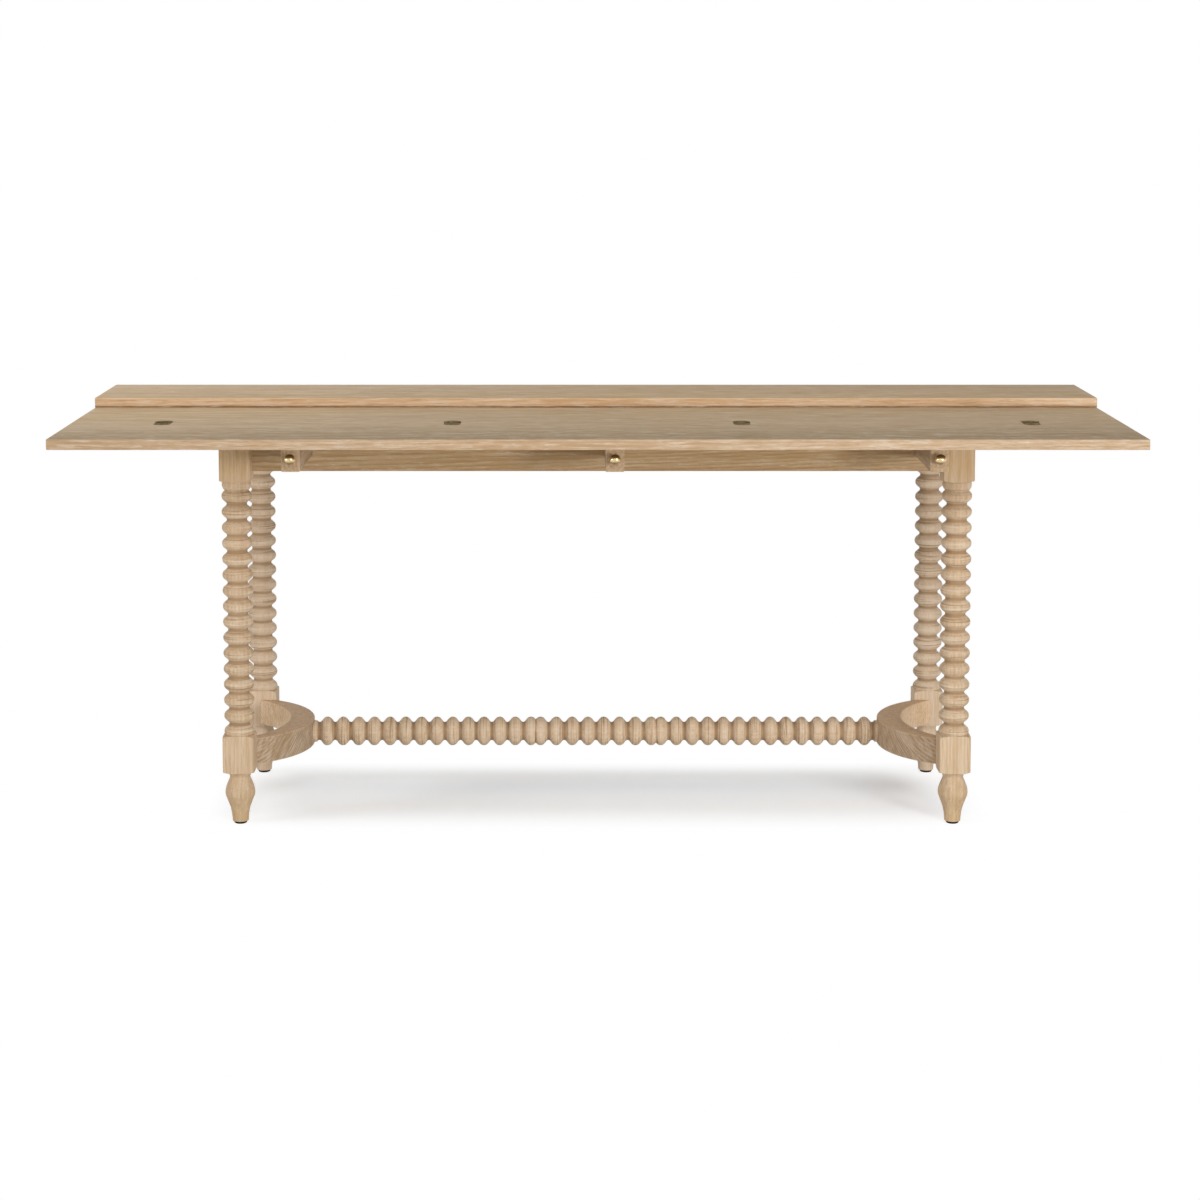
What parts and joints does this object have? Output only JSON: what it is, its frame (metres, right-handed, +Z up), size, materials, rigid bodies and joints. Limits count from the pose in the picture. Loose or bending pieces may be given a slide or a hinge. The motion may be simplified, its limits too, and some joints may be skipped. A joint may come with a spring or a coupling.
{
  "type": "flip-top table",
  "caption": "Long flip-top console table with bobbin-turned legs and stretcher, crescent end stretchers, a hinged folding leaf and pull-out lopers that carry it when open.",
  "frame": {"origin": "on the floor under the middle of the open top", "axes": "+X along the length, to the right as seen from the front; -Y to the front, the side of the leaf; +Z up"},
  "size_m": [1.8796, 0.6858, 0.762],
  "materials": {
    "board_oak": "limed, satin, long grain",
    "frame_oak": "limed, satin",
    "turned_oak": "limed, lathe-turned, satin",
    "inner_wood": "plain, unfinished",
    "aged_brass": "dark antique patina",
    "brass_screws": "dark antique patina",
    "polished_brass": "polished",
    "steel_screws": "plain zinc",
    "dark_glides": "matt"
  },
  "bodies": {
    "frame": {"button_screws": "steel_screws", "centre_bearer": "inner_wood", "centre_guide_cleat": "inner_wood", "centre_keeper": "inner_wood", "fixed_board": "board_oak", "front_apron": "frame_oak", "front_left_glide": "dark_glides", "front_left_leg": "turned_oak", "front_right_glide": "dark_glides", "front_right_leg": "turned_oak", "hinge_board_screws": "brass_screws", "inner_left_hinge_board_plate": "aged_brass", "inner_left_hinge_pin": "aged_brass", "inner_right_hinge_board_plate": "aged_brass", "inner_right_hinge_pin": "aged_brass", "keeper_screws": "steel_screws", "left_bearer": "inner_wood", "left_crescent_stretcher": "frame_oak", "left_end_apron": "frame_oak", "left_guide_cleat": "inner_wood", "left_keeper": "inner_wood", "outer_left_hinge_board_plate": "aged_brass", "outer_left_hinge_pin": "aged_brass", "outer_right_hinge_board_plate": "aged_brass", "outer_right_hinge_pin": "aged_brass", "panel_screws": "steel_screws", "raised_panel": "board_oak", "rear_apron": "frame_oak", "rear_left_glide": "dark_glides", "rear_left_leg": "turned_oak", "rear_right_glide": "dark_glides", "rear_right_leg": "turned_oak", "right_bearer": "inner_wood", "right_crescent_stretcher": "frame_oak", "right_end_apron": "frame_oak", "right_guide_cleat": "inner_wood", "right_keeper": "inner_wood", "stretcher_dowels": "inner_wood", "stretcher_left_section": "turned_oak", "stretcher_middle_section": "turned_oak", "stretcher_right_section": "turned_oak", "top_buttons": "inner_wood"},
    "leaf": {"flip_leaf": "board_oak", "hinge_leaf_screws": "brass_screws", "inner_left_hinge_leaf_plate": "aged_brass", "inner_right_hinge_leaf_plate": "aged_brass", "outer_left_hinge_leaf_plate": "aged_brass", "outer_right_hinge_leaf_plate": "aged_brass"},
    "left_loper_slide": {"left_loper": "frame_oak", "left_loper_knob": "polished_brass", "left_loper_stop_pin": "inner_wood"},
    "centre_loper_slide": {"centre_loper": "frame_oak", "centre_loper_knob": "polished_brass", "centre_loper_stop_pin": "inner_wood"},
    "right_loper_slide": {"right_loper": "frame_oak", "right_loper_knob": "polished_brass", "right_loper_stop_pin": "inner_wood"}
  },
  "joints": [
    {"name": "leaf_fold", "type": "hinge", "parent": "frame", "child": "leaf", "pos_m": [0, -0.1143, 0.74375], "axis": [-1, 0, 0], "range_deg": [0, 180]},
    {"name": "left_loper_travel", "type": "slide", "parent": "frame", "child": "left_loper_slide", "axis": [0, 1, 0], "range_m": [0, 0.2]},
    {"name": "centre_loper_travel", "type": "slide", "parent": "frame", "child": "centre_loper_slide", "axis": [0, 1, 0], "range_m": [0, 0.2]},
    {"name": "right_loper_travel", "type": "slide", "parent": "frame", "child": "right_loper_slide", "axis": [0, 1, 0], "range_m": [0, 0.2]}
  ]
}
